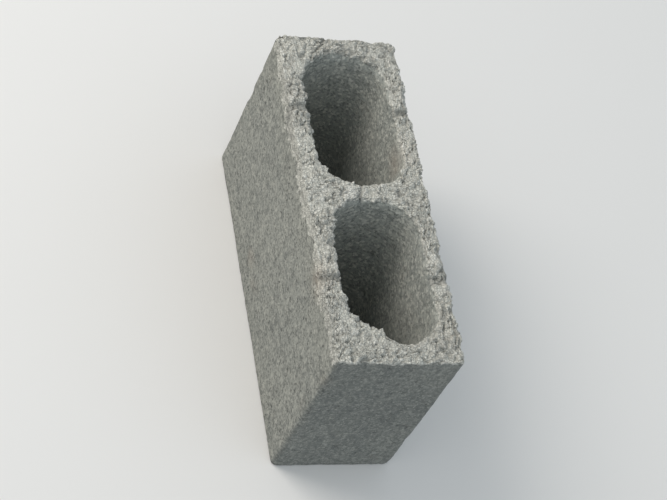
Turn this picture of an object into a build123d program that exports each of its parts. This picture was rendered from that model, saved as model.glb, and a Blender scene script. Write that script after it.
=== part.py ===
from build123d import *
import math
import os

# Hollow concrete block, pressed in one piece and standing on its closed bed with its two cores open upward.
# Lengths in millimetres. X runs along the block, Y across it, Z up.
# The origin is the middle of the closed bed that the block stands on.

# Envelope
block_length = 340.0
block_width = 115.0
block_height = 190.0

# Walls at the open top, where the cores are widest
side_shell = 16.5
end_shell = 19.0
middle_web = 16.0
closed_floor = 25.0

# Core plan: straight long sides, and ends drawn from three arcs that meet tangentially
corner_centre_offset = 9.5
end_arc_excess = 17.0

# Core body: its walls draw in toward the floor, and its nose is rounded
core_draft_angle = 2.0
core_nose_radius = 10.0

# Edges
upright_edge_radius = 4.0
bed_edge_radius = 1.5
core_rim_radius = 3.0

# Marks that the bars over the cores leave across both long shells, a little outward of each core's middle
bar_slot_width = 8.0
bar_slot_depth = 2.5
bar_slot_outset = 9.0

# Sizes that follow from the ones above
core_count = 2
core_depth = block_height - closed_floor
core_length = (block_length - 2 * end_shell - (core_count - 1) * middle_web) / core_count
core_half_width = block_width / 2 - side_shell
core_spacing = core_length + middle_web
core_inset_at_floor = core_depth * math.tan(math.radians(core_draft_angle))
core_centres = [(i - (core_count - 1) / 2) * core_spacing for i in range(core_count)]
bar_lines = [x + math.copysign(bar_slot_outset, x) for x in core_centres]


def core_plan(inset, level):
    """Outline of a core at a height, drawn in by an inset from its outline at the open top.

    Each end is an arc about a point on the centre line, with a smaller corner arc on either side of it.
    The insets move no centre, so the outlines at all heights share their tangent points' directions.
    """
    corner_radius = core_half_width - corner_centre_offset
    end_radius = core_half_width + end_arc_excess
    centre_gap = math.sqrt((end_radius - corner_radius) ** 2 - corner_centre_offset**2)
    end_centre = core_length / 2 - end_radius
    corner_centre = end_centre + centre_gap
    joint_angle = math.atan2(corner_centre_offset, centre_gap)

    half_width = core_half_width - inset
    tip = core_length / 2 - inset
    side_start = Vector(corner_centre, half_width)
    joint = Vector(
        end_centre + (end_radius - inset) * math.cos(joint_angle),
        (end_radius - inset) * math.sin(joint_angle),
    )
    shoulder_angle = (joint_angle + math.pi / 2) / 2
    shoulder = Vector(
        corner_centre + (corner_radius - inset) * math.cos(shoulder_angle),
        corner_centre_offset + (corner_radius - inset) * math.sin(shoulder_angle),
    )

    with BuildSketch(Plane.XY.offset(level)) as plan:
        with BuildLine():
            Line((0, half_width), side_start)
            ThreePointArc(side_start, shoulder, joint)
            ThreePointArc(joint, (tip, 0), (joint.X, -joint.Y))
            ThreePointArc((joint.X, -joint.Y), (shoulder.X, -shoulder.Y), (side_start.X, -half_width))
            Line((side_start.X, -half_width), (0, -half_width))
            mirror(about=Plane.YZ)
        make_face()
    return plan.sketch


def core_form():
    """The tapered, round-nosed form that leaves one core, standing on the core's floor."""
    with BuildPart() as form:
        add(core_plan(core_inset_at_floor, closed_floor))
        add(core_plan(0, block_height))
        loft(ruled=True)
        fillet(form.faces().sort_by(Axis.Z)[0].edges(), core_nose_radius)
    return form.part


def block():
    """The whole block: pressed envelope, blind cores, eased rims and the bar slots across its top."""
    with BuildPart() as body:
        Box(block_length, block_width, block_height, align=(Align.CENTER, Align.CENTER, Align.MIN))
        fillet(body.edges().filter_by(Axis.Z), upright_edge_radius)
        fillet(body.edges().group_by(Axis.Z)[0], bed_edge_radius)
        fillet(body.edges().group_by(Axis.Z)[-1], bed_edge_radius)

        form = core_form()
        with Locations(*[(x, 0, 0) for x in core_centres]):
            add(form, mode=Mode.SUBTRACT)
        open_top = body.faces().sort_by(Axis.Z)[-1]
        rims = [edge for wire in open_top.inner_wires() for edge in wire.edges()]
        fillet(rims, core_rim_radius)

        with BuildSketch(Plane.XZ):
            with Locations(*[(x, block_height) for x in bar_lines]):
                Rectangle(bar_slot_width, 2 * bar_slot_depth)
        extrude(amount=block_width, both=True, mode=Mode.SUBTRACT)
    return body.part


os.makedirs("parts", exist_ok=True)
hollow_block = block()
hollow_block.label = "hollow_block"
export_step(hollow_block, "parts/hollow_block.step")
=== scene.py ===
import math

import bpy
import numpy as np
from mathutils import Matrix, Vector


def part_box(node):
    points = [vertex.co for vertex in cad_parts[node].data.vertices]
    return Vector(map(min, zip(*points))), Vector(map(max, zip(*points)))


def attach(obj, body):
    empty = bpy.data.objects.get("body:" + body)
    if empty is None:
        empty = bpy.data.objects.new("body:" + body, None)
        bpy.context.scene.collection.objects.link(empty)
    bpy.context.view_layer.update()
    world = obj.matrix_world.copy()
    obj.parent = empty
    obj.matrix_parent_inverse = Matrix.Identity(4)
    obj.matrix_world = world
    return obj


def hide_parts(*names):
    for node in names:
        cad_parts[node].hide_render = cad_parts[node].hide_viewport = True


bl_info = {
    "name": "Hollow Concrete Block",
    "version": (1, 0, 0),
    "blender": (4, 5, 0),
    "location": "3D View > Sidebar > Block",
    "description": "Makes a hollow concrete block with pressed and rubbed surfaces, and a plain stage",
    "category": "Object",
}

# The block stands on its closed bed with its cores open upward.
# X runs along it, Y across it and Z up, in metres, and MM turns millimetres into metres.
MM = 0.001

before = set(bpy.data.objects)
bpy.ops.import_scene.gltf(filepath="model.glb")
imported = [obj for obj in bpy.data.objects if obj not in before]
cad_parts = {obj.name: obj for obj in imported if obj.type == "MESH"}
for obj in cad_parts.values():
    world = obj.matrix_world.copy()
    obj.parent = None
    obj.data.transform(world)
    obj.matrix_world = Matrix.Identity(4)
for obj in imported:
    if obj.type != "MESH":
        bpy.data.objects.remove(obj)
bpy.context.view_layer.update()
NODE = "hollow_block"
node_low, node_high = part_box(NODE)

# Grid columns over a quarter of a core's mouth, and what each part of the net is divided into
SIDE_COLUMNS = 68
END_COLUMNS = 44
TOP_ROWS = 28
RIM_ROWS = 4
FINE_DEPTH = 22 * MM
FINE_ROW = 1.55 * MM
CORE_ROW = 3.4 * MM
SIDE_ROW = 3.3 * MM
NOSE_ROWS = 6
FLOOR_ROWS = 8
BED_ROWS = 12
EDGE_ROWS = 3
BED_EDGE_ROWS = 2

# Middles of the two rust tinges on the rims, and how far they reach
RUST_PLACES = np.array([(44, -41, 174), (-86, 57, 181)]) * MM
RUST_REACH = 13 * MM

# Smooth dabs of paste on the open top: each one's middle, reach and height in millimetres, and its paleness
DABS = np.array([
    (106, -55, 190, 8.5, 3.4, 0.5),
    (-68, -50, 190, 8.5, 1.6, 0.45),
    (0, 15, 190, 7.5, 0.8, 1.0),
    (-96, -56, 190, 6.0, 2.6, 0.6),
    (-150, -20, 190, 6.0, 0.8, 0.4),
])

# Where the heaps in the cores stand, as shares of half a core's length and of half its width
HEAP_CORNER = (-0.888, 0.66)

# Ends in plan of the cracks in the open top, over the web and over the far end
CRACKS = np.array([[(7, 5), (-7, 7.5)], [(170, 9), (146, 28)]]) * MM

# Heights and depths of the broader and the single marks, and the share of its reach by which a heap sinks
STONY_SWELL = 0.8 * MM
STONY_GRAIN = 0.28 * MM
WALL_SWELL = 0.4 * MM
WALL_PIT = 1.3 * MM
CRACK_DEPTH = 1.6 * MM
BAR_LINE_DEPTH = 0.5 * MM
WEB_SAG = 1.0 * MM
UPRIGHT_CHIP = 2.2 * MM
UPRIGHT_WEAR = 0.5 * MM
HEAP_FALL = 0.16

# Scales of the colour patterns, in turns or cells to the metre
PASTE_PATCHES = 24
CLOUDS = 26
MOTTLE = 130
GRIT = 320
GRAINS = 420
SAND = 800
SPECKLE = 900
DRAG_STREAKS = 240
LARGE_PITS = 170
SMALL_PITS = 380
STAINS = 13
BARE_PATCHES = 26
SHEEN = 400
FLOOR_MOTTLE = 3

# The stage: half the floor's side, the film's width in millimetres, the lamp, and the backdrop's colour
FLOOR_HALF = 8.0
FILM_WIDTH = 36.0
LAMP_PLACE = (0.95, 1.4, 1.75)
LAMP_SIDE = 1.3
LAMP_COLOUR = (1.0, 0.965, 0.90)
BACKDROP = (0.86, 0.86, 0.85, 1.0)

# Whole numbers that mix a lattice point's coordinates and a seed into an even spread of 32-bit numbers
HASH_PRIMES = np.array([0x9E3779B1, 0x85EBCA77, 0xC2B2AE3D, 0x27D4EB2F], dtype=np.uint64)
LOW_BITS = 0xFFFFFFFF


def number(name, default, description, **more):
    """A property for one number."""
    return bpy.props.FloatProperty(name=name, description=description, default=default, **more)


def length(name, millimetres, description):
    """A property for one length, given in millimetres and kept in metres."""
    return number(
        name, millimetres * MM, description, min=0.0, unit="LENGTH", subtype="DISTANCE", precision=4
    )


def colour(name, default, description):
    """A property for one linear colour."""
    return bpy.props.FloatVectorProperty(
        name=name, description=description, default=default, size=3, min=0.0, max=1.0, subtype="COLOR"
    )


class BlockSizes(bpy.types.PropertyGroup):
    """Walls, cores and edges of the pressed block."""

    side_shell: length("Side shell", 16.5, "Thickness of a long wall at the open top")
    end_shell: length("End shell", 19, "Thickness of an end wall at the open top")
    middle_web: length("Middle web", 16, "Thickness of the wall between the cores at the open top")
    closed_floor: length("Closed floor", 25, "Thickness of the floor under the cores")
    corner_centre_offset: length("Corner centre offset", 9.5, "How far a core's corner arcs lie off its axis")
    end_arc_excess: length("End arc excess", 17, "How much a core's end arc exceeds half its width")
    core_draft: number("Core draft", math.radians(2), "Angle at which core walls draw in", subtype="ANGLE")
    core_nose_radius: length("Core nose radius", 10, "Round between a core's wall and its floor")
    core_rim_radius: length("Core rim radius", 3, "Round between a core's wall and the open top")
    upright_edge_radius: length("Upright edge radius", 4, "Round of the block's four upright edges")
    bed_edge_radius: length("Bed edge radius", 1.5, "Round of the edges of the top and of the bed")
    bar_slot_width: length("Bar slot width", 8, "Width of the marks that the core bar leaves")
    bar_slot_depth: length("Bar slot depth", 2.5, "Depth of the marks that the core bar leaves")
    bar_slot_outset: length("Bar slot outset", 9, "How far the marks lie outward of a core's middle")


class BlockRelief(bpy.types.PropertyGroup):
    """Stones, pits, burrs and rubbing marks of the surfaces."""

    stone_size: length("Stone size", 6.6, "Spacing of the stones on the open top")
    stone_height: length("Stone height", 2.8, "How far the stones stand up from the joints between them")
    pit_depth: length("Pit depth", 1.9, "Depth of the holes that missing stones leave in the open top")
    ragged_rim: length("Ragged rim", 2.0, "How far the cores' rims wander")
    rim_burr: length("Rim burr", 3.0, "How far crumbs hang over the cores' rims")
    rim_bite: length("Rim bite", 2.2, "How deep pieces are broken out of the cores' rims")
    corner_heap: length("Corner heap", 15.5, "How far the heap in the near core's left corner reaches")
    far_heap: length("Far corner heap", 4.5, "How far the heap in the far core's corner reaches")
    heap_width: length("Heap width", 26, "Distance along the rim over which a heap falls off")
    rim_lip: length("Rim lip", 2.6, "How far the cores' left rims overhang")
    edge_loss: length("Edge loss", 3.2, "How deep pieces are broken out of the outer edges of the top")
    wall_reach: length("Wall reach", 19, "How far the open texture of the top runs down the long walls")
    rim_reach: length("Rim reach", 4, "How far it runs down the end walls and into the cores")
    bar_burr: length("Bar burr", 2.3, "Height of the lumps beside the marks that the core bar leaves")
    rub_depth: length("Rub depth", 0.25, "Depth of the upright marks that the mould leaves")
    seed: bpy.props.IntProperty(name="Seed", description="Changes every random mark", default=7, min=0)


class ConcreteColours(bpy.types.PropertyGroup):
    """Colours of the concrete."""

    paste_pale: colour("Pale paste", (0.715, 0.696, 0.628), "Dry cement paste in the light patches")
    paste_dark: colour("Dark paste", (0.585, 0.570, 0.517), "Cement paste in the dark patches")
    stone_pale: colour("Pale stone", (0.86, 0.83, 0.765), "The few pale stones")
    stone_dark: colour("Dark stone", (0.25, 0.25, 0.24), "The few dark stones")
    stain: colour("Rust stain", (0.52, 0.37, 0.27), "Faint reddish stains")
    # Painted shade for the pits, joints, crevices, bar slots, cracks and finest hollows, and also the real
    # tone of the dark grains and grit
    shade_and_dark_grain: colour("Pit shade", (0.12, 0.125, 0.12), "Dusty bottoms of pits and joints")
    wall_tone: colour("Rubbed long wall", (0.297, 0.300, 0.275), "Film of paste rubbed over the long walls")
    # The long walls' film, a little paler near the top
    upper_wall_tone: colour("Dry long wall", (0.308, 0.308, 0.276), "The same film where it is dry, near the top")
    # Film on the end walls and the bed, painted darker and bluer than the long walls as the shade of the ends
    end_film_and_shade: colour("Rubbed end", (0.200, 0.207, 0.196), "Denser, bluer film on the end walls and the bed")
    bloom_tone: colour("Bloom", (0.50, 0.49, 0.435), "Pale bloom of dry paste that clouds the walls")
    core_tone: colour("Core wall", (0.330, 0.342, 0.319), "Paste drawn smooth on the core walls")


class StageSettings(bpy.types.PropertyGroup):
    """Camera, light and floor."""

    camera_place: bpy.props.FloatVectorProperty(
        name="Camera place", description="Where the camera stands", default=(-0.830, 0.569, 1.362),
        size=3, subtype="XYZ", unit="LENGTH",
    )
    camera_roll: number("Camera roll", math.radians(30.3), "Turn about the camera's view", subtype="ANGLE")
    camera_lens: number("Camera lens", 96.0, "Focal length in millimetres", min=10.0)
    floor_colour: colour("Floor", (0.807, 0.783, 0.768), "Plain pale floor")
    floor_bounce: colour("Floor bounce", (0.40, 0.40, 0.395), "Tone in which the floor throws light back")
    key_light: number("Key light", 29.0, "Power of the soft lamp at the far left, in watts", subtype="POWER")
    room_light: number("Room light", 0.70, "Level of the even light from all round", min=0.0)


class BlockShape:
    """Sizes that follow from the block's box and its walls."""

    def __init__(self, sizes):
        self.half_length = (node_high[0] - node_low[0]) / 2
        self.half_width = (node_high[1] - node_low[1]) / 2
        self.height = node_high[2]
        self.floor = sizes.closed_floor
        self.draft = sizes.core_draft
        self.nose = sizes.core_nose_radius
        self.rim = sizes.core_rim_radius
        self.upright_edge = sizes.upright_edge_radius
        self.bed_edge = sizes.bed_edge_radius
        self.slot_width = sizes.bar_slot_width
        self.slot_depth = sizes.bar_slot_depth
        self.core_half_length = (2 * self.half_length - 2 * sizes.end_shell - sizes.middle_web) / 4
        self.core_half_width = self.half_width - sizes.side_shell
        self.core_centre = self.core_half_length + sizes.middle_web / 2
        self.bar_line = self.core_centre + sizes.bar_slot_outset
        self.corner_offset = sizes.corner_centre_offset
        self.corner_radius = self.core_half_width - self.corner_offset
        self.end_radius = self.core_half_width + sizes.end_arc_excess
        gap = math.sqrt((self.end_radius - self.corner_radius) ** 2 - self.corner_offset**2)
        self.end_centre = self.core_half_length - self.end_radius
        self.corner_centre = self.end_centre + gap
        self.joint_angle = math.atan2(self.corner_offset, gap)


def spread(start, end, count):
    """Evenly spaced numbers from start up to, but not including, end."""
    return start + (end - start) * np.arange(count) / count


def rising(low, high, value):
    """0 below low, 1 above high, and between them 3t squared less 2t cubed of the share t of the way."""
    share = np.clip((value - low) / (high - low), 0.0, 1.0)
    return share * share * (3.0 - 2.0 * share)


def falling(low, high, value):
    """1 below low, 0 above high, and the same smooth way between them."""
    return 1 - rising(low, high, value)


def columns(*parts):
    """Arrays side by side, as the columns of one."""
    return np.stack(parts, axis=1)


def lattice_random(cells, seed):
    """One number from 0 to 1 for each lattice point: its coordinates and the seed, mixed bit by bit."""
    mixed = np.full(len(cells), seed, dtype=np.uint64) * HASH_PRIMES[3]
    for axis in range(3):
        mixed += (cells[:, axis] & LOW_BITS).astype(np.uint64) * HASH_PRIMES[axis]
    for shift, prime in ((15, HASH_PRIMES[1]), (13, HASH_PRIMES[2])):
        mixed = ((mixed ^ (mixed >> np.uint64(shift))) & np.uint64(LOW_BITS)) * prime
    mixed = (mixed ^ (mixed >> np.uint64(16))) & np.uint64(LOW_BITS)
    return mixed.astype(np.float64) / LOW_BITS


def wandering(points, size, seed):
    """Smooth noise from -1 to 1: random numbers at lattice points, blended by a quintic fade on each axis."""
    place = points / size
    cell = np.floor(place).astype(np.int64)
    share = place - cell
    fade = share**3 * (share * (share * 6 - 15) + 10)
    total = np.zeros(len(points))
    for corner in np.ndindex(2, 2, 2):
        weight = np.prod(np.where(corner, fade, 1 - fade), axis=1)
        total += weight * lattice_random(cell + corner, seed)
    return 2 * total - 1


def layered(points, size, layers, seed):
    """Sum of wandering noise in layers, each half the size and half the height of the one before."""
    total = np.zeros(len(points))
    for layer in range(layers):
        total += wandering(points, size / 2**layer, seed + layer) / 2**layer
    return total / (2 - 2.0 ** (1 - layers))


def cells_round(points, size, seed):
    """The 27 lattice cells in and round each point's own, one after another, and the way from each centre.

    A cell's centre is random within it, and lengths are in cells.
    """
    place = points / size
    cell = np.floor(place).astype(np.int64)
    for step in np.ndindex(3, 3, 3):
        near = cell + np.array(step) - 1
        centre = near + columns(*(lattice_random(near, seed + k) for k in range(3)))
        yield near, place - centre


def domes(points, size, share, small, large, seed):
    """Round lumps scattered one to a lattice cell, for the share of cells that hold one.

    A lump's radius lies between small and large, in cells. The dome's height at a distance d from its centre
    is the square root of r squared less d squared, and the highest dome over a point counts.
    """
    height = np.zeros(len(points))
    for near, way in cells_round(points, size, seed):
        radius = small + (large - small) * lattice_random(near, seed + 3)
        held = lattice_random(near, seed + 4) < share
        rise = radius**2 - np.sum(way**2, axis=1)
        height = np.maximum(height, np.where(held & (rise > 0), np.sqrt(np.maximum(rise, 0)), 0.0))
    return height


def packed_stones(points, size, seed):
    """Stones packed side by side, one to a lattice cell, each reaching half way to its neighbours.

    With d1 and d2 the distances from a point to the nearest and the second nearest of the cells' centres,
    returns d2 less d1, which is 0 in the joints between stones, and the nearest stone's own number.
    """
    nearest, second, own = np.full(len(points), 9.0), np.full(len(points), 9.0), np.zeros(len(points))
    for near, way in cells_round(points, size, seed):
        reach = np.linalg.norm(way, axis=1)
        closer = reach < nearest
        second = np.where(closer, nearest, np.minimum(second, reach))
        own = np.where(closer, lattice_random(near, seed + 3), own)
        nearest = np.where(closer, reach, nearest)
    return second - nearest, own


def quarter_columns(side_run, end_run):
    """Distances along a quarter outline: even columns over its side part, and others over its end part."""
    end_columns = side_run + spread(0, end_run, END_COLUMNS)
    return np.concatenate([spread(0, side_run, SIDE_COLUMNS), end_columns, [side_run + end_run]])


def core_quarter(shape):
    """Mouth of a core from the middle of its side to the tip of its end, with its outward normals.

    The line is the straight side, a corner arc and half of the end arc, which meet tangentially.
    Columns are even along it on either side of an anchor at 45 degrees on the corner arc.
    """
    corner_centre, joint = shape.corner_centre, shape.joint_angle
    anchor = math.radians(45)
    corner_run = shape.corner_radius * (math.pi / 2 - anchor)
    side_run = corner_centre + corner_run
    end_run = shape.corner_radius * (anchor - joint) + shape.end_radius * joint
    along = quarter_columns(side_run, end_run)
    on_side = along < corner_centre
    arc_end = corner_centre + shape.corner_radius * (math.pi / 2 - joint)
    on_corner = ~on_side & (along < arc_end)
    angle = np.where(
        on_corner,
        math.pi / 2 - (along - corner_centre) / shape.corner_radius,
        joint - (along - arc_end) / shape.end_radius,
    )
    angle = np.where(on_side, math.pi / 2, angle)
    normal = columns(np.cos(angle), np.sin(angle))
    normal[on_side] = (0.0, 1.0)
    corner = np.array([corner_centre, shape.corner_offset]) + shape.corner_radius * normal
    end = np.array([shape.end_centre, 0.0]) + shape.end_radius * normal
    side = columns(along, np.full(len(along), shape.core_half_width))
    points = np.where(on_side[:, None], side, np.where(on_corner[:, None], corner, end))
    return points, normal


def close_quarters(quarters):
    """Joins four quarters into one loop, clockwise from above, each given from the loop's side to its end.

    The first runs forward, and each next one runs the other way, so that shared points meet once.
    """
    first, second, third, fourth = quarters
    return np.concatenate([first, second[-2::-1], third[1:], fourth[-2:0:-1]])


def mirrored_loop(quarter):
    """A loop that is the same about both axes, from its quarter with positive coordinates."""
    flips = [(1, 1), (1, -1), (-1, -1), (-1, 1)]
    return close_quarters([quarter * flip for flip in flips])


def outer_quarter(shape, inset):
    """Block's outline from the middle of a core's half to the middle of the block's end, drawn in by inset.

    It is a straight side, the upright edge's arc and half of the end. Columns are even along the outline
    itself on either side of the arc's middle, and move in along its normals.
    """
    radius = shape.upright_edge
    arc_half = radius * math.pi / 4
    side_run = shape.half_length / 2 - radius + arc_half
    end_run = shape.half_width - radius + arc_half
    along = quarter_columns(side_run, end_run)
    arc_start = side_run - arc_half
    angle = math.pi / 2 - np.clip((along - arc_start) / radius, 0, math.pi / 2)
    normal = columns(np.cos(angle), np.sin(angle))
    centre = np.array([shape.half_length - radius, shape.half_width - radius])
    before = np.maximum(arc_start - along, 0)
    after = np.maximum(along - arc_start - 2 * arc_half, 0)
    points = centre + (radius - inset) * normal
    points[:, 0] -= before
    points[:, 1] -= after
    points[0, 0] = shape.half_length / 2
    points[-1, 1] = 0.0
    return points


def web_quarter(shape, inset):
    """Outline of half the top from the middle of a core's half to the block's middle, by side and web."""
    edge = shape.half_width - inset
    along_side = columns(spread(shape.half_length / 2, 0, SIDE_COLUMNS), np.full(SIDE_COLUMNS, edge))
    along_web = columns(np.zeros(END_COLUMNS), spread(edge, 0, END_COLUMNS))
    return np.concatenate([along_side, along_web, [(0.0, 0.0)]])


def half_top_loop(shape, inset):
    """Loop round the half of the top that one core opens into."""
    outer = outer_quarter(shape, inset)
    web = web_quarter(shape, inset)
    down = np.array([1.0, -1.0])
    return close_quarters([outer, outer * down, web * down, web])


def outer_loop(shape, inset):
    """Loop round the whole block, clockwise from above, starting over the web."""
    outer = outer_quarter(shape, inset)
    web = web_quarter(shape, inset)[SIDE_COLUMNS:0:-1]
    down = np.array([1.0, -1.0])
    far = np.concatenate([web, outer, outer[-2::-1] * down, web[:0:-1] * down])
    near = far * (-1.0, -1.0)
    return np.concatenate([far, near])


def lifted(loop, level):
    """A plan loop at a height."""
    return np.column_stack([loop, np.full(len(loop), level)])


def core_profile(shape):
    """Section of a core's wall as offsets out of its mouth outline, heights and column steps, floor first.

    The wall leans by the draft. A round of the nose radius touches it and the floor from inside the core,
    and a round of the rim radius touches it and the top from inside the concrete.
    """
    lean, level = math.tan(shape.draft), shape.height
    sine, cosine = math.sin(shape.draft), math.cos(shape.draft)
    nose_height = shape.floor + shape.nose
    nose_offset = (-shape.nose + (nose_height - level) * sine) / cosine
    turn = np.linspace(0, math.pi / 2 - shape.draft, NOSE_ROWS + 1)
    nose = columns(np.sin(turn), -np.cos(turn)) * shape.nose + (nose_offset, nose_height)

    rim_height = level - shape.rim
    rim_offset = shape.rim * (1 - sine) / cosine
    turn = np.linspace(shape.draft, math.pi / 2, RIM_ROWS + 1)
    rim = columns(-np.cos(turn), np.sin(turn)) * shape.rim + (rim_offset, rim_height)

    fine_start = level - FINE_DEPTH
    coarse_rows = round((fine_start - nose[-1, 1]) / CORE_ROW)
    fine_rows = round((rim[0, 1] - fine_start) / FINE_ROW)
    coarse = spread(nose[-1, 1], fine_start, coarse_rows)[1:]
    fine = spread(fine_start, rim[0, 1], fine_rows)
    walls = [columns(-(level - heights) * lean, heights) for heights in (coarse, fine)]
    return [(nose, 2), (walls[0], 2), (walls[1], 1), (rim, 1)]


def core_rows(shape):
    """Rows of the net that lines one core and covers its half of the top, from the floor's middle outward."""
    mouth, normal = (mirrored_loop(part) for part in core_quarter(shape))
    centre = np.array([shape.core_centre, 0.0])
    profile = core_profile(shape)
    floor_loop = mouth + profile[0][0][0, 0] * normal
    rows = [lifted((centre + floor_loop * share)[::4], shape.floor) for share in spread(0, 1, FLOOR_ROWS)]
    for section, step in profile:
        for offset, level in section:
            rows.append(lifted((centre + mouth + offset * normal)[::step], level))
    rim_loop = rows[-1]
    edge_loop = lifted(half_top_loop(shape, shape.bed_edge), shape.height)
    for share in np.linspace(0, 1, TOP_ROWS + 1)[1:]:
        rows.append(rim_loop + (edge_loop - rim_loop) * share)
    return rows


def outer_rows(shape):
    """Rows of the net round the outside, from the top's edge down the walls and under the bed to a spine."""
    radius = shape.bed_edge
    top, rows = shape.height, []
    for turn in np.linspace(0, math.pi / 2, EDGE_ROWS + 1):
        inset, level = radius * (1 - math.sin(turn)), top - radius * (1 - math.cos(turn))
        rows.append(lifted(outer_loop(shape, inset), level))
    fine_end = top - FINE_DEPTH
    fine = spread(top - radius, fine_end, round((FINE_DEPTH - radius) / FINE_ROW))[1:]
    coarse = spread(fine_end, radius, round((fine_end - radius) / SIDE_ROW))
    rows += [lifted(outer_loop(shape, 0), level) for level in fine]
    rows += [lifted(outer_loop(shape, 0)[::2], level) for level in coarse]
    for turn in np.linspace(0, math.pi / 2, BED_EDGE_ROWS + 1):
        inset, level = radius * (1 - math.cos(turn)), radius * (1 - math.sin(turn))
        rows.append(lifted(outer_loop(shape, inset)[::2], level))
    rim = outer_loop(shape, radius)[::4]
    spine_end = shape.half_length - shape.half_width
    spine = columns(np.clip(rim[:, 0], -spine_end, spine_end), np.zeros(len(rim)))
    for share in np.linspace(0, 1, BED_ROWS + 1)[1:]:
        rows.append(lifted(rim + (spine - rim) * share, 0.0))
    return rows


def net_faces(rows):
    """Triangles between each row of a net and the next, closed round the columns.

    Rows of equal length give squares, cut along alternate diagonals. Where the next row has half as many
    points, or twice, each of the fewer is met by three triangles, so that no seam opens.
    """
    faces, start = [], 0
    for row, following in zip(rows, rows[1:]):
        a, b = len(row), len(following)
        first, second = start + np.arange(a), start + a + np.arange(b)
        if a == b:
            p, q, r, s = first, np.roll(first, -1), np.roll(second, -1), second
            even = (np.arange(a) + len(faces)) % 2 == 0
            faces.append(np.where(even[:, None], columns(p, q, r), columns(p, q, s)))
            faces.append(np.where(even[:, None], columns(p, r, s), columns(q, r, s)))
        elif a > b:
            p, m, q = first[::2], first[1::2], np.roll(first[::2], -1)
            r, s = np.roll(second, -1), second
            faces += [columns(*part) for part in ((p, m, s), (m, r, s), (m, q, r))]
        else:
            p, q = first, np.roll(first, -1)
            s, m, r = second[::2], second[1::2], np.roll(second[::2], -1)
            faces += [columns(*part) for part in ((p, m, s), (p, q, m), (q, r, m))]
        start += a
    return np.concatenate(rows), np.concatenate(faces)


def welded(parts):
    """Joins nets into one mesh: points that coincide to a micron become one, and collapsed faces go."""
    points = np.concatenate([part[0] for part in parts])
    starts = np.cumsum([0] + [len(part[0]) for part in parts[:-1]])
    faces = np.concatenate([part[1] + start for part, start in zip(parts, starts)])
    microns = np.round(points * 1e6).astype(np.int64)
    _, first, same = np.unique(microns, axis=0, return_index=True, return_inverse=True)
    faces = same.reshape(-1)[faces]
    whole = (faces[:, 0] != faces[:, 1]) & (faces[:, 1] != faces[:, 2]) & (faces[:, 2] != faces[:, 0])
    return points[first], faces[whole]


def point_normals(points, faces):
    """Unit normal of each point: the sum of its faces' cross products, so that large faces count for more."""
    corners = points[faces]
    cross = np.cross(corners[:, 1] - corners[:, 0], corners[:, 2] - corners[:, 0])
    sums = [np.bincount(faces.ravel(), np.repeat(cross[:, k], 3), minlength=len(points)) for k in range(3)]
    total = np.stack(sums, axis=1)
    return total / np.maximum(np.linalg.norm(total, axis=1), 1e-20)[:, None]


def from_mouth(shape, points):
    """Plan distance of each point outside the mouth of the core in its half, and the direction away from it.

    Inside the mouth the distance is negative. By symmetry only the distances u along and v across from the
    core's centre matter: beside the straight side it is v less half the width, and in the sectors of the
    corner arc and of the end arc it is the distance to the arc's centre less the arc's radius.
    """
    end_centre = np.array([shape.end_centre, 0.0])
    corner_centre = np.array([shape.corner_centre, shape.corner_offset])
    sign = np.where(points[:, :2] < 0, -1.0, 1.0)
    place = np.abs(points[:, :2])
    place[:, 0] -= shape.core_centre
    inner = np.where(place[:, 0] < 0, -1.0, 1.0)
    place[:, 0] = np.abs(place[:, 0])
    to_corner, to_end = place - corner_centre, place - end_centre
    corner_reach, end_reach = (np.linalg.norm(part, axis=1) for part in (to_corner, to_end))
    beside = place[:, 0] < corner_centre[0]
    on_corner = np.arctan2(to_corner[:, 1], to_corner[:, 0]) >= shape.joint_angle
    distance = np.where(on_corner, corner_reach - shape.corner_radius, end_reach - shape.end_radius)
    away = np.where(
        on_corner[:, None],
        to_corner / np.maximum(corner_reach, 1e-9)[:, None],
        to_end / np.maximum(end_reach, 1e-9)[:, None],
    )
    distance = np.where(beside, place[:, 1] - shape.core_half_width, distance)
    away = np.where(beside[:, None], (0.0, 1.0), away)
    away[:, 0] *= inner
    return distance, away * sign


def from_outline(shape, points):
    """Plan distance of each point in from the block's outline, and the direction out of it.

    With q the distances beyond the corner arc's centre, the outline's distance is the length of q where both
    are positive and its larger part elsewhere, less the radius.
    """
    radius = shape.upright_edge
    sign = np.where(points[:, :2] < 0, -1.0, 1.0)
    beyond = np.abs(points[:, :2]) - (shape.half_length - radius, shape.half_width - radius)
    both = np.all(beyond > 0, axis=1)
    reach = np.where(both, np.linalg.norm(beyond, axis=1), np.max(beyond, axis=1))
    straight = np.where((beyond[:, 0] > beyond[:, 1])[:, None], (1.0, 0.0), (0.0, 1.0))
    out = np.where(both[:, None], beyond / np.maximum(reach, 1e-9)[:, None], straight)
    return radius - reach, out * sign


def core_fill(shape, relief, at):
    """How far concrete that stayed behind as the cores were drawn reaches in over them at each point.

    A bell along the rim round each core's near left corner gives the heaps, and the left rims keep a lip.
    Both are whole at the rim, fade over the top and run out down the core's wall as a slope.
    """
    nearest = at.points[:, :2] - at.mouth_away * at.mouth_gap[:, None]
    corner = np.array(HEAP_CORNER) * (shape.core_half_length, shape.core_half_width)
    corner = corner + np.sign(at.points[:, :1]) * (shape.core_centre, 0.0)
    bell = np.exp(-np.sum((nearest - corner) ** 2, axis=1) / relief.heap_width**2)
    heap = np.where(at.points[:, 0] < 0, relief.corner_heap, relief.far_heap) * bell
    lip = relief.rim_lip * np.maximum(at.mouth_away[:, 1], 0) ** 2
    fill = np.maximum(heap, lip) * (1 + 0.14 * wandering(at.points * (1, 1, 0.5), 16 * MM, relief.seed + 158))
    on_top = falling(0.0, 5 * MM + 0.8 * fill, at.mouth_gap)
    down = falling(1.5 * MM, 8 * MM + 1.6 * fill, at.below)
    return fill * on_top * down * (1 - at.outer)


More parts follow.
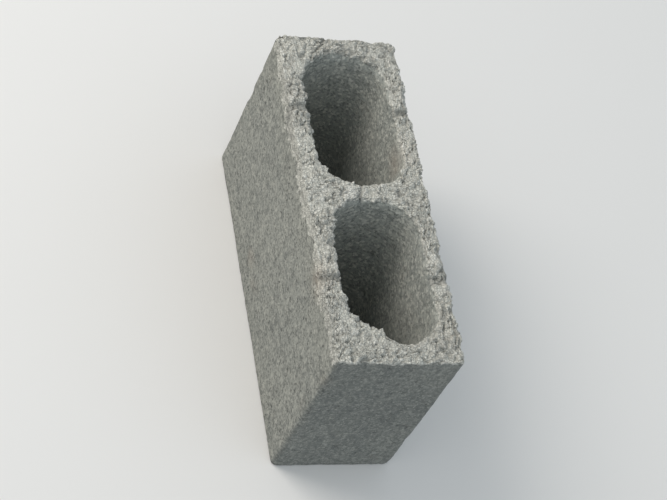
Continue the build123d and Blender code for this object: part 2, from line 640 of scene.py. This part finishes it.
class Places:
    """Where each point of the smooth net lies on the block.

    The open texture reaches over the top's edges by a wandering length, and its border is ragged.
    """

    def __init__(self, shape, relief, points):
        self.points = points
        self.below = shape.height - points[:, 2]
        self.mouth_gap, self.mouth_away = from_mouth(shape, points)
        self.edge_gap, self.edge_out = from_outline(shape, points)
        self.outer = falling(0.6 * MM, 2.5 * MM, self.edge_gap)
        self.on_end = rising(-5 * MM, -1 * MM, np.abs(points[:, 0]) - shape.half_length)
        self.bed = falling(0.2 * MM, 1.2 * MM, points[:, 2])
        self.across_bar = np.abs(np.abs(points[:, 0]) - shape.bar_line)
        long_wall = self.outer * (1 - self.on_end)
        wander = 1 + 0.8 * layered(points * (1, 1, 0.3), 34 * MM, 3, relief.seed + 11)
        short = relief.rim_reach * (1 + 0.6 * layered(points * (1, 1, 0.3), 9 * MM, 2, relief.seed + 15))
        self.fill = core_fill(shape, relief, self)
        reach = short + (relief.wall_reach * wander - short) * long_wall
        reach = np.maximum(reach, 0.8 * MM) + 1.3 * self.fill
        ragged = 0.55 * layered(points, 8 * MM, 2, relief.seed + 17) * self.outer
        self.struck = falling(0.45, 0.95, self.below / reach + ragged * rising(0, 3 * MM, self.below))
        self.core = (1 - self.outer) * (1 - self.bed) * (1 - self.struck)


def open_texture(relief, points):
    """Rise, own numbers and hollows of the open texture: packed stones of two sizes with paste between them.

    Joints are open in some places, mostly at the block's ends, and full of paste in others. A few stones are
    missing, and small ragged voids lie wherever layered noise is high.
    """
    seed = relief.seed
    warped = points + 1.1 * MM * columns(*(wandering(points, 3.4 * MM, seed + 20 + k) for k in range(3)))
    gap, own = packed_stones(warped, relief.stone_size, seed + 30)
    small_gap, small_own = packed_stones(warped, relief.stone_size * 0.52, seed + 40)
    coarse_end = 0.15 * rising(140 * MM, 155 * MM, np.abs(points[:, 0]))
    open_joint = rising(-0.45, 0.35, layered(points, 11 * MM, 2, seed + 50) + coarse_end)
    crown, small_crown = rising(0.0, 0.22, gap), rising(0.0, 0.25, small_gap)
    lost = (own < 0.05) * rising(0.02, 0.2, gap)
    lost += 0.6 * (small_own < 0.08) * rising(0.02, 0.2, small_gap) * (1 - lost)
    void = np.maximum(lost, rising(0.24, 0.5, layered(warped, 3.3 * MM, 2, seed + 75)))
    lift = np.modf(own * 7.3)[0]
    stone_rise = (0.35 + 0.65 * open_joint) * (crown * (0.4 + 0.6 * lift) + 0.3 * small_crown) - 0.6
    broad = layered(points, 30 * MM, 3, seed + 60)
    fine = layered(points, 2.2 * MM, 2, seed + 70)
    rise = relief.stone_height * stone_rise + STONY_SWELL * broad + STONY_GRAIN * fine
    rise -= relief.pit_depth * void
    joint = falling(0.0, 0.11, gap) * (0.25 + 0.75 * open_joint)
    joint += 0.35 * falling(0.0, 0.12, small_gap) * open_joint
    return rise, own, np.clip(0.55 * joint + 0.9 * void, 0, 1)


def rubbed_texture(relief, points):
    """Rise, own numbers, hollows and rough patches of the walls.

    Drag marks are noise stretched ten times along the height, over gentle waves. In rough patches the film
    of paste is torn and packed stones show through, and pits of a few millimetres lie all over.
    """
    seed = relief.seed
    drag = layered(points * (1, 1, 0.1), 5 * MM, 3, seed + 80)
    waves = layered(points, 45 * MM, 2, seed + 90)
    sand = layered(points, 5 * MM, 2, seed + 100)
    patch = rising(0.1, 0.6, layered(points * (1, 1, 0.7), 48 * MM, 4, seed + 110))
    gap, own = packed_stones(points, 6.4 * MM, seed + 120)
    crown = rising(0.0, 0.4, gap)
    pit = rising(0.0, 0.16, domes(points, 27 * MM, 0.4, 0.09, 0.19, seed + 130))
    rise = relief.rub_depth * (drag + 1.2 * sand) + WALL_SWELL * waves
    rise += patch * 0.6 * MM * (crown - 0.75) - WALL_PIT * pit
    return rise, own, np.clip(0.7 * pit + 0.45 * patch * (1 - crown), 0, 1), patch


def rim_shift(relief, at):
    """How far each point near a core's mouth moves away from the core.

    The rim wanders, loses bites and carries burrs. The shift fades over the top and down the core's wall.
    """
    seed, plan = relief.seed, at.points * (1, 1, 0.45)
    wander = relief.ragged_rim * layered(plan, 17 * MM, 4, seed + 140)
    bite = relief.rim_bite * rising(0.25, 0.65, wandering(plan, 15 * MM, seed + 145))
    burr = relief.rim_burr * rising(0.2, 0.6, layered(plan, 13 * MM, 2, seed + 150))
    crumbs = 0.8 * relief.rim_burr * rising(0.0, 0.4, domes(at.points, 9 * MM, 0.55, 0.25, 0.5, seed + 155))
    on_top = falling(0.5 * MM, 7 * MM, at.mouth_gap)
    down = falling(1.5 * MM, 10 * MM, at.below)
    return (wander + bite - burr - crumbs + 0.4 * relief.rim_burr) * on_top * down * (1 - at.outer)


def edge_shift(relief, at):
    """How far each point near the top's outer edge moves inward and down, as the edge crumbles.

    Whole chips are gone and the edge wanders. Over the long walls it also loses round bites, each about as
    large as a stone.
    """
    seed, plan = relief.seed, at.points * (1, 1, 0.6)
    chips = relief.edge_loss * rising(0.15, 0.7, layered(plan, 20 * MM, 3, seed + 160))
    wander = 0.6 * relief.edge_loss * (0.9 + layered(plan, 13 * MM, 3, seed + 165))
    bites = 0.55 * relief.edge_loss * rising(0.0, 0.35, domes(at.points, 8 * MM, 0.6, 0.25, 0.5, seed + 168))
    on_top = falling(0.0, 8 * MM, at.edge_gap)
    down = falling(0.5 * MM, 13 * MM, at.below)
    long_wall = 1 - at.on_end
    inward = (chips + wander - 0.5 * relief.edge_loss) * on_top * down
    inward += bites * on_top * long_wall * falling(5 * MM, 19 * MM, at.below)
    return inward, 0.5 * (chips + wander) * on_top * (1 - at.outer * rising(0.0, 3 * MM, at.below))


def bar_marks(shape, relief, at):
    """Slot, burr and wall line that the bar carrying the cores leaves on each long shell beside a core.

    The slot is 1 in the bar's width over the shell. The burr is a lumpy bank on both sides of it that also
    bulges over the wall, and the line is a shallow groove that runs down the long wall and dies out.
    """
    seed, points = relief.seed, at.points
    half = shape.slot_width / 2 + 1.1 * MM * wandering(points, 5 * MM, seed + 170)
    on_shell = rising(-4 * MM, -1 * MM, np.abs(points[:, 1]) - shape.core_half_width)
    top_only = rising(-14 * MM, -2 * MM, -at.below)
    slot = falling(-0.8 * MM, 0.8 * MM, at.across_bar - half) * on_shell * top_only
    bank = np.exp(-(((at.across_bar - half - 2.8 * MM) / (2.4 * MM)) ** 2))
    lumps = rising(-0.5, 0.6, layered(points, 6 * MM, 2, seed + 175))
    burr = bank * lumps * on_shell * rising(-7 * MM, -1 * MM, -at.below)
    centre_line = np.abs(at.across_bar - 1.5 * MM * wandering(points * (1, 1, 0.3), 20 * MM, seed + 180))
    fading = falling(25 * MM, 110 * MM, at.below * (1 + 0.5 * wandering(points, 40 * MM, seed + 185)))
    line = falling(0.6 * MM, 2.6 * MM, centre_line) * fading * at.outer * (1 - at.on_end)
    return slot, burr, line


def dabs(relief, points):
    """Rise and paleness of the smooth dabs of paste: a torn bell round each one's middle."""
    gaps = np.linalg.norm(points[:, None, :] - DABS[:, :3] * MM, axis=2) / (DABS[:, 3] * MM)
    bells = np.exp(-(gaps**2)) * (0.9 + 0.35 * layered(points, 6 * MM, 2, relief.seed + 220))[:, None]
    paleness = np.clip(1.3 * np.max(bells * DABS[:, 5], axis=1), 0, 1)
    return np.max(bells * (DABS[:, 4] * MM), axis=1), paleness


def cracks(relief, points, at):
    """1 in the cracks, 0 away from them: a narrow band round each crack's line, which noise makes waver."""
    shift = columns(*(wandering(points, 5 * MM, relief.seed + 225 + k) for k in (0, 1)))
    wavering = points[:, :2] + 1.2 * MM * shift
    opened = np.zeros(len(points))
    for start, end in CRACKS:
        run = end - start
        share = np.clip((wavering - start) @ run / (run @ run), 0, 1)
        aside = np.linalg.norm(wavering - start - share[:, None] * run, axis=1)
        opened = np.maximum(opened, falling(0.6 * MM, 1.8 * MM, aside))
    return opened * falling(6 * MM, 14 * MM, at.below)


def rust_tinge(relief, points):
    """Share of rust over each point: a torn bell round each of the rusty places."""
    gaps = np.linalg.norm(points[:, None, :] - RUST_PLACES, axis=2) / RUST_REACH
    torn = 0.75 + 0.6 * layered(points, 12 * MM, 3, relief.seed + 210)
    return np.clip(np.exp(-gaps**2).sum(axis=1) * torn, 0, 1)


def weathered(shape, relief, points, faces):
    """Moves the smooth net's points to the block's real surface and gives what the material reads there.

    The concrete left over the cores moves the net first. Then a point moves along its normal by the texture
    of its zone, each zone fading into the next. Near the top, rims and outer edges also move level or down
    as they crumble, and the bar slots sink straight down.
    """
    seed, at = relief.seed, Places(shape, relief, points)
    filled = points.copy()
    filled[:, :2] -= at.mouth_away * at.fill[:, None]
    filled[:, 2] -= HEAP_FALL * at.fill
    points, normals = filled, point_normals(filled, faces)
    open_rise, open_own, open_hollow = open_texture(relief, points)
    wall_rise, wall_own, wall_hollow, patch = rubbed_texture(relief, points)
    rise = at.struck * open_rise * (1 - 0.3 * at.outer) + (1 - at.struck) * wall_rise
    slot, burr, line = bar_marks(shape, relief, at)
    dab_rise, dab = dabs(relief, points)
    crack = cracks(relief, points, at)
    rise = rise * (1 - 0.6 * dab) + dab_rise * (1 - 0.6 * at.outer) - CRACK_DEPTH * crack
    rise += relief.bar_burr * burr * (1 - 0.6 * at.outer) - BAR_LINE_DEPTH * line
    upright = rising(-7 * MM, -1 * MM, np.abs(points[:, 0]) - shape.half_length)
    upright *= rising(-7 * MM, -1 * MM, np.abs(points[:, 1]) - shape.half_width)
    chip = rising(0.1, 0.75, layered(points * (1, 1, 0.8), 17 * MM, 3, seed + 190))
    rise -= upright * (UPRIGHT_CHIP * chip + UPRIGHT_WEAR)

    moved = points + normals * rise[:, None]
    inward, fall = edge_shift(relief, at)
    moved[:, :2] += at.mouth_away * rim_shift(relief, at)[:, None] - at.edge_out * inward[:, None]
    fill = 1.1 + 0.35 * wandering(points, 6 * MM, seed + 195)
    sag = WEB_SAG * np.exp(-((points[:, 0] / (11 * MM)) ** 2 + (points[:, 1] / (30 * MM)) ** 2))
    moved[:, 2] -= slot * shape.slot_depth * fill + fall + sag * falling(0, 9 * MM, at.below)
    moved[:, 2] = np.where(at.bed > 0.5, np.maximum(moved[:, 2], 0.0), moved[:, 2])
    # Share of painted shade in the hollows: the joints and voids of the open top, and the pits and torn
    # joints of the walls
    hollow = at.struck * open_hollow + (1 - at.struck) * wall_hollow
    top_fade_depth = at.below * (1 + 0.5 * layered(points * (1, 1, 0.4), 40 * MM, 3, seed + 200))
    marks = {
        "struck": at.struck,
        "core": at.core,
        "end": np.maximum(at.on_end * (1 - at.struck), at.bed),
        "patch": patch,
        # Share of the paler film near the top of the walls, fading out from 14 to 62 mm down a wavering depth
        "dry": falling(14 * MM, 62 * MM, top_fade_depth),
        "rust": rust_tinge(relief, points),
        "dab": dab,
        "own": at.struck * open_own + (1 - at.struck) * wall_own,
        # The bar slots and the cracks add to it, so that they too are painted dark as shade
        "hollow": np.clip(hollow * (1 - 0.8 * dab) + 0.85 * slot + 1.2 * crack, 0, 1),
    }
    return moved, marks


def placed(name, data):
    """A new object with this data, linked into the scene."""
    holder = bpy.data.objects.new(name, data)
    bpy.context.scene.collection.objects.link(holder)
    return holder


def mesh_object(name, points, faces, marks, material):
    """Puts arrays of points, triangles and per-point marks into a new smooth mesh object at the origin."""
    mesh = bpy.data.meshes.new(name)
    mesh.vertices.add(len(points))
    mesh.vertices.foreach_set("co", points.astype(np.float32).ravel())
    mesh.loops.add(faces.size)
    mesh.loops.foreach_set("vertex_index", faces.astype(np.int32).ravel())
    mesh.polygons.add(len(faces))
    mesh.polygons.foreach_set("loop_start", np.arange(0, faces.size, 3, dtype=np.int32))
    mesh.polygons.foreach_set("use_smooth", np.ones(len(faces), dtype=bool))
    for mark, values in marks.items():
        attribute = mesh.attributes.new(mark, "FLOAT", "POINT")
        attribute.data.foreach_set("value", values.astype(np.float32))
    mesh.update(calc_edges=True)
    if mesh.validate():
        raise RuntimeError(f"{name} has faulty faces")
    mesh.materials.append(material)
    return placed(name, mesh)


class Value:
    """A number in a node tree. Sums and products with it add the nodes that work them out."""

    def __init__(self, bench, socket):
        self.bench, self.socket = bench, socket

    def __add__(self, other):
        return self.bench.maths("ADD", self, other)

    def __sub__(self, other):
        return self.bench.maths("SUBTRACT", self, other)

    def __rsub__(self, other):
        return self.bench.maths("SUBTRACT", other, self)

    def __mul__(self, other):
        return self.bench.maths("MULTIPLY", self, other)


class NodeBench:
    """Places and links the nodes of one new material or world."""

    def __init__(self, holder):
        self.holder = holder
        holder.use_nodes = True
        self.tree = holder.node_tree
        self.tree.nodes.clear()
        self.column = 0

    def add(self, kind, inputs=None, **settings):
        """A node with settings, its inputs set to plain values or linked from sockets."""
        node = self.tree.nodes.new(kind)
        node.location = (self.column * 40, -(self.column % 6) * 180)
        self.column += 1
        for key, value in settings.items():
            setattr(node, key, value)
        for key, value in (inputs or {}).items():
            value = getattr(value, "socket", value)
            if isinstance(value, bpy.types.NodeSocket):
                self.tree.links.new(value, node.inputs[key])
            else:
                node.inputs[key].default_value = value
        return node

    def mark(self, name):
        """The value of a per-point mark."""
        return Value(self, self.add("ShaderNodeAttribute", attribute_name=name).outputs["Fac"])

    def maths(self, operation, first, second):
        """One sum on two values."""
        return Value(self, self.add("ShaderNodeMath", {0: first, 1: second}, operation=operation).outputs[0])

    def larger(self, first, second):
        """The larger of two values."""
        return self.maths("MAXIMUM", first, second)

    def vectors(self, operation, first, second=(0.0, 0.0, 0.0), scale_by=1.0):
        """One sum on two vectors, or a vector scaled."""
        node = self.add("ShaderNodeVectorMath", {0: first, 1: second, 3: scale_by}, operation=operation)
        return node.outputs["Value" if operation == "DOT_PRODUCT" else "Vector"]

    def between(self, value, low, high, to_low=0.0, to_high=1.0):
        """A value's share of the way from low to high, smoothed, as a number from to_low to to_high."""
        inputs = {"Value": value, "From Min": low, "From Max": high, "To Min": to_low, "To Max": to_high}
        node = self.add("ShaderNodeMapRange", inputs, interpolation_type="SMOOTHSTEP", clamp=True)
        return Value(self, node.outputs["Result"])

    def blend(self, share, first, second):
        """A second colour laid over a first by a share."""
        sides = [tone if isinstance(tone, bpy.types.NodeSocket) else (*tone, 1.0) for tone in (first, second)]
        inputs = {0: share, 6: sides[0], 7: sides[1]}
        return self.add("ShaderNodeMix", inputs, data_type="RGBA", clamp_factor=True).outputs[2]

    def overlaid(self, tone, overlays):
        """A colour with others laid over it in turn, each by its share."""
        for share, over in overlays:
            tone = self.blend(share, tone, over)
        return tone

    def noise(self, place, scale, detail=2.0, roughness=0.5):
        """Soft noise, scale in turns to the metre."""
        inputs = {"Vector": place, "Scale": scale, "Detail": detail, "Roughness": roughness}
        return Value(self, self.add("ShaderNodeTexNoise", inputs).outputs["Fac"])

    def grains(self, place, scale):
        """Cells of grains, scale in cells to the metre: the distance to a cell's middle, and its number."""
        node = self.add("ShaderNodeTexVoronoi", {"Vector": place, "Scale": scale})
        own = self.add("ShaderNodeSeparateColor", {"Color": node.outputs["Color"]}).outputs[0]
        return Value(self, node.outputs["Distance"]), Value(self, own)

    def joints(self, place, scale):
        """The distance to the nearest joint between the same cells."""
        node = self.add("ShaderNodeTexVoronoi", {"Vector": place, "Scale": scale}, feature="DISTANCE_TO_EDGE")
        return Value(self, node.outputs["Distance"])

    def seen_directly(self):
        """1 for a surface seen straight, mirrored or through glass, and 0 for light that it throws."""
        path = self.add("ShaderNodeLightPath").outputs
        mirrored = self.larger(path["Is Glossy Ray"], path["Is Transmission Ray"])
        return self.larger(path["Is Camera Ray"], mirrored)

    def stretched(self, place, scale):
        """Coordinates scaled by its own amount on each axis."""
        return self.add("ShaderNodeMapping", {"Vector": place, "Scale": scale}).outputs["Vector"]

    def surface(self, inputs):
        """Ends the material in one surface with these inputs."""
        shader = self.add("ShaderNodeBsdfPrincipled", inputs)
        self.add("ShaderNodeOutputMaterial", {"Surface": shader.outputs["BSDF"]})
        return self.holder


def pitted(bench, place, scale, held, core):
    """Ragged pits, one to a cell for the share of cells held, each as large as its own number makes it.

    Noise on the coordinates tears their outlines. Slower noise and the core walls leave some cells empty.
    """
    waver = {"Vector": place, "Scale": 2.6 * scale, "Detail": 2.0}
    torn = bench.add("ShaderNodeTexNoise", waver).outputs["Color"]
    centred = bench.vectors("SUBTRACT", torn, (0.5, 0.5, 0.5))
    shift = bench.vectors("SCALE", centred, scale_by=1.1 / scale)
    gap, own = bench.grains(bench.vectors("ADD", place, shift), scale)
    spared = bench.between(bench.noise(place, BARE_PATCHES, 3), 0.36, 0.6, 0.22, 0.0) + core * 0.12
    size = bench.maths("MINIMUM", (own - (1.0 - held) - spared) * 0.75, 0.3)
    return bench.between(size - gap, -0.02, 0.1)


def concrete_material(tones):
    """Cast concrete: patchy paste, crushed stone and sand, pits, and a rubbed film on the walls.

    Open texture shows a few pale and dark stones, and joints. Walls and cores are overlaid with paste,
    streaked upright where the mould drew past, and keep ragged pits. Relief too fine for the mesh is bump.
    Pits, joints, crevices, bar slots, cracks and the finest hollows are painted dark as shade.
    """
    bench = NodeBench(bpy.data.materials.new("cast_concrete"))
    between, larger, noise = bench.between, bench.larger, bench.noise
    place = bench.add("ShaderNodeTexCoord").outputs["Object"]
    struck, hollow, own = bench.mark("struck"), bench.mark("hollow"), bench.mark("own")
    core, end, patch, dry, rust, dab = map(bench.mark, ("core", "end", "patch", "dry", "rust", "dab"))

    _, grain_own = bench.grains(place, GRAINS)
    joint_gap = bench.joints(place, GRAINS)
    sand_gap, sand_own = bench.grains(place, SAND)
    speckle = noise(place, SPECKLE, 2, 0.7)
    patches = between(noise(place, PASTE_PATCHES, 5, 0.65), 0.34, 0.66)
    open_colour = bench.overlaid(tones.paste_dark, (
        (patches, tones.paste_pale),
        (between(grain_own, 0.68, 0.92, 0.0, 0.34), tones.stone_pale),
        (between(grain_own, 0.2, 0.06, 0.0, 0.26), tones.stone_dark),
        (between(own, 0.8, 1.0, 0.0, 0.4), tones.stone_pale),
        (between(own, 0.16, 0.1, 0.0, 0.16), tones.stone_dark),
    ))

    streaks = noise(bench.stretched(place, (1.0, 1.0, 0.05)), DRAG_STREAKS, 3, 0.6)
    clouds = between(noise(bench.stretched(place, (1.0, 1.0, 0.45)), CLOUDS, 5, 0.62), 0.32, 0.68)
    mottle = noise(place, MOTTLE, 4, 0.7)
    grit = mottle * 0.38 + noise(place, GRIT, 3, 0.65) * 0.62
    lively = between(end, 0.0, 1.0, 0.7, 0.3)
    film = bench.overlaid(tones.wall_tone, (
        # Paler film near the top of the long walls
        (dry, tones.upper_wall_tone),
        # End walls and bed: their film, painted darker as shade
        (end, tones.end_film_and_shade),
        (core, tones.core_tone),
        (clouds * 0.22, tones.bloom_tone),
        (between(streaks, 0.5, 0.8, 0.0, 0.22), tones.bloom_tone),
        (between(grit, 0.5, 0.62) * lively, tones.bloom_tone),
        (between(grit, 0.5, 0.36) * (lively - core * 0.2), tones.shade_and_dark_grain),
        (between(grain_own, 0.7, 0.95) * between(core, 0.0, 1.0, 0.15, 0.58), tones.paste_pale),
        (between(grain_own, 0.3, 0.05, 0.0, 0.36), tones.shade_and_dark_grain),
        (between(sand_own, 0.75, 1.0, 0.0, 0.4), tones.bloom_tone),
        (between(sand_own, 0.25, 0.0, 0.0, 0.4), tones.shade_and_dark_grain),
    ))

    smooth_share = 1.0 - struck
    # The pits are sunk by bump, and below they are also painted dark as shade
    pits = larger(pitted(bench, place, LARGE_PITS, 0.5, core), pitted(bench, place, SMALL_PITS, 0.68, core))
    pits = pits * smooth_share * between(larger(core, end), 0.0, 1.0, 1.0, 0.6)
    # Painted shade in the hollows and in the joints between the stones
    crevice_shade = hollow * between(struck, 0.0, 1.0, 0.5, 0.55)
    joint_shade = between(joint_gap, 0.11, 0.0) * (struck * 0.4)
    stony = between(struck + (grain_own - 0.5) * 0.6, 0.3, 0.7)
    stains = between(noise(place, STAINS, 3, 0.55), 0.62, 0.76, 0.0, 0.14)
    tone = bench.overlaid(film, (
        (larger(stony, patch * 0.12), open_colour),
        (dab * 0.8, tones.stone_pale),
        (larger(stains, rust * 0.4), tones.stain),
        # Painted shade: hollows, pits and joints darkened toward the shade tone
        (larger(larger(crevice_shade, pits * 0.64), joint_shade), tones.shade_and_dark_grain),
        # Painted shade in the finest hollows: darker where the speckle's bump is low
        (between(speckle, 0.3, 0.6, 0.22, 0.0), tones.shade_and_dark_grain),
    ))

    sand_height = between(sand_gap, 0.75, 0.0) * 0.16
    crown = (between(joint_gap, 0.0, 0.2) * 0.5 + grain_own * 0.35) * (struck * 0.9)
    drag_height = (mottle * 1.2 + streaks) * smooth_share * 0.3
    height = sand_height + crown + (drag_height + speckle * 0.3) - pits * 1.3
    return bench.surface({
        "Base Color": tone,
        "Roughness": between(noise(place, SHEEN, 2), 0.3, 0.7, 0.86, 0.98),
        "Normal": bench.add("ShaderNodeBump", {"Distance": MM, "Height": height}).outputs["Normal"],
        "Specular IOR Level": 0.2,
    })


def floor_material(tone, bounce):
    """Plain pale floor with a barely seen mottle, and a deeper tone in the light that it throws back."""
    bench = NodeBench(bpy.data.materials.new("studio_floor"))
    place = bench.add("ShaderNodeTexCoord").outputs["Object"]
    mottle = bench.between(bench.noise(place, FLOOR_MOTTLE, 3), 0.3, 0.7, 0.0, 0.04)
    shade = bench.blend(mottle, tone, [0.8 * part for part in tone])
    shade = bench.blend(bench.seen_directly(), bounce, shade)
    return bench.surface({"Base Color": shade, "Roughness": 0.9, "Specular IOR Level": 0.1})


class BLOCK_OT_make_block(bpy.types.Operator):
    """Makes the pressed block with its cores, rims, slots and surface relief"""

    bl_idname = "concrete_block.make_block"
    bl_label = "Make block"

    def execute(self, context):
        scene = context.scene
        shape, relief = BlockShape(scene.block_sizes), scene.block_relief
        far_rows = core_rows(shape)
        near_rows = [row[::-1] * (-1.0, 1.0, 1.0) for row in far_rows]
        points, faces = welded([net_faces(rows) for rows in (far_rows, near_rows, outer_rows(shape))])
        moved, marks = weathered(shape, relief, points, faces)
        piece = mesh_object("cast_block", moved, faces, marks, concrete_material(scene.concrete_colours))
        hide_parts(NODE)
        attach(piece, "root")
        return {"FINISHED"}


def aimed(place, aim, roll=0.0):
    """Matrix of a camera or lamp at a place that looks at a point, turned by a roll about its view."""
    view = (Vector(aim) - Vector(place)).normalized()
    turned = view.to_track_quat("-Z", "Y").to_matrix().to_4x4()
    return Matrix.Translation(place) @ turned @ Matrix.Rotation(roll, 4, "Z")


def add_lamp(aim, power):
    """The square soft lamp, shining toward a point."""
    lamp = bpy.data.lights.new("key_lamp", "AREA")
    lamp.shape = "SQUARE"
    lamp.size = LAMP_SIDE
    lamp.energy = power
    lamp.color = LAMP_COLOUR
    placed("key_lamp", lamp).matrix_world = aimed(LAMP_PLACE, aim)


def add_floor(settings):
    """The square floor that the block stands on."""
    half = FLOOR_HALF
    corners = [(-half, -half, 0), (half, -half, 0), (half, half, 0), (-half, half, 0)]
    mesh = bpy.data.meshes.new("studio_floor")
    mesh.from_pydata(corners, [], [(0, 1, 2, 3)])
    mesh.materials.append(floor_material(settings.floor_colour, settings.floor_bounce))
    ground = placed("studio_floor", mesh)


def add_camera(settings, aim):
    """The camera, looking at a point."""
    camera = bpy.data.cameras.new("photo_camera")
    camera.lens = settings.camera_lens
    camera.sensor_width = FILM_WIDTH
    holder = placed("photo_camera", camera)
    holder.matrix_world = aimed(settings.camera_place, aim, settings.camera_roll)
    bpy.context.scene.camera = holder


def room_world(level):
    """Light from all round, a little cooler from the right and weaker from the far right.

    Only the camera sees the pale backdrop.
    """
    bench = NodeBench(bpy.data.worlds.new("room"))
    toward = bench.add("ShaderNodeTexCoord").outputs["Generated"]
    leftward = bench.vectors("DOT_PRODUCT", toward, (0.35, 0.94, 0.0))
    sky = bench.blend(bench.between(leftward, -0.7, 0.7), (0.81, 0.925, 1.01), (0.92, 0.955, 0.95))
    nearward = bench.vectors("DOT_PRODUCT", toward, (-0.85, 0.5, 0.0))
    strength = bench.between(nearward, -1.0, 1.0, 0.8, 1.2) * level
    light = bench.add("ShaderNodeBackground", {"Color": sky, "Strength": strength})
    backdrop = bench.add("ShaderNodeBackground", {"Color": BACKDROP, "Strength": 1.0})
    sides = {0: bench.seen_directly(), 1: light.outputs[0], 2: backdrop.outputs[0]}
    mix = bench.add("ShaderNodeMixShader", sides)
    bench.add("ShaderNodeOutputWorld", {"Surface": mix.outputs[0]})
    return bench.holder


class BLOCK_OT_make_stage(bpy.types.Operator):
    """Makes the floor, the lamp, the even room light and the camera"""

    bl_idname = "concrete_block.make_stage"
    bl_label = "Make stage"

    def execute(self, context):
        scene, settings = context.scene, context.scene.block_stage
        middle = (Vector(node_low) + Vector(node_high)) / 2
        add_floor(settings)
        add_lamp(middle, settings.key_light)
        scene.world = room_world(settings.room_light)
        add_camera(settings, middle)
        scene.view_settings.view_transform = "Standard"
        return {"FINISHED"}


class BLOCK_PT_panel(bpy.types.Panel):
    """Lists the block's sizes, relief, colours and stage"""

    bl_label = "Hollow Concrete Block"
    bl_idname = "BLOCK_PT_panel"
    bl_space_type = "VIEW_3D"
    bl_region_type = "UI"
    bl_category = "Block"

    def draw(self, context):
        layout = self.layout
        for group, operator in PANEL_ROWS:
            box = layout.box()
            settings = getattr(context.scene, group)
            for name in settings.__annotations__:
                box.prop(settings, name)
            if operator:
                box.operator(operator)


PANEL_ROWS = (
    ("block_sizes", None),
    ("block_relief", None),
    ("concrete_colours", BLOCK_OT_make_block.bl_idname),
    ("block_stage", BLOCK_OT_make_stage.bl_idname),
)
GROUPS = {
    "block_sizes": BlockSizes,
    "block_relief": BlockRelief,
    "concrete_colours": ConcreteColours,
    "block_stage": StageSettings,
}
CLASSES = (*GROUPS.values(), BLOCK_OT_make_block, BLOCK_OT_make_stage, BLOCK_PT_panel)


def register():
    for kind in CLASSES:
        bpy.utils.register_class(kind)
    for name, group in GROUPS.items():
        setattr(bpy.types.Scene, name, bpy.props.PointerProperty(type=group))


def unregister():
    for name in GROUPS:
        delattr(bpy.types.Scene, name)
    for kind in reversed(CLASSES):
        bpy.utils.unregister_class(kind)


def main():
    """Makes every piece in order."""
    register()
    bpy.ops.concrete_block.make_stage()
    bpy.ops.concrete_block.make_block()


if __name__ == "__main__":
    main()
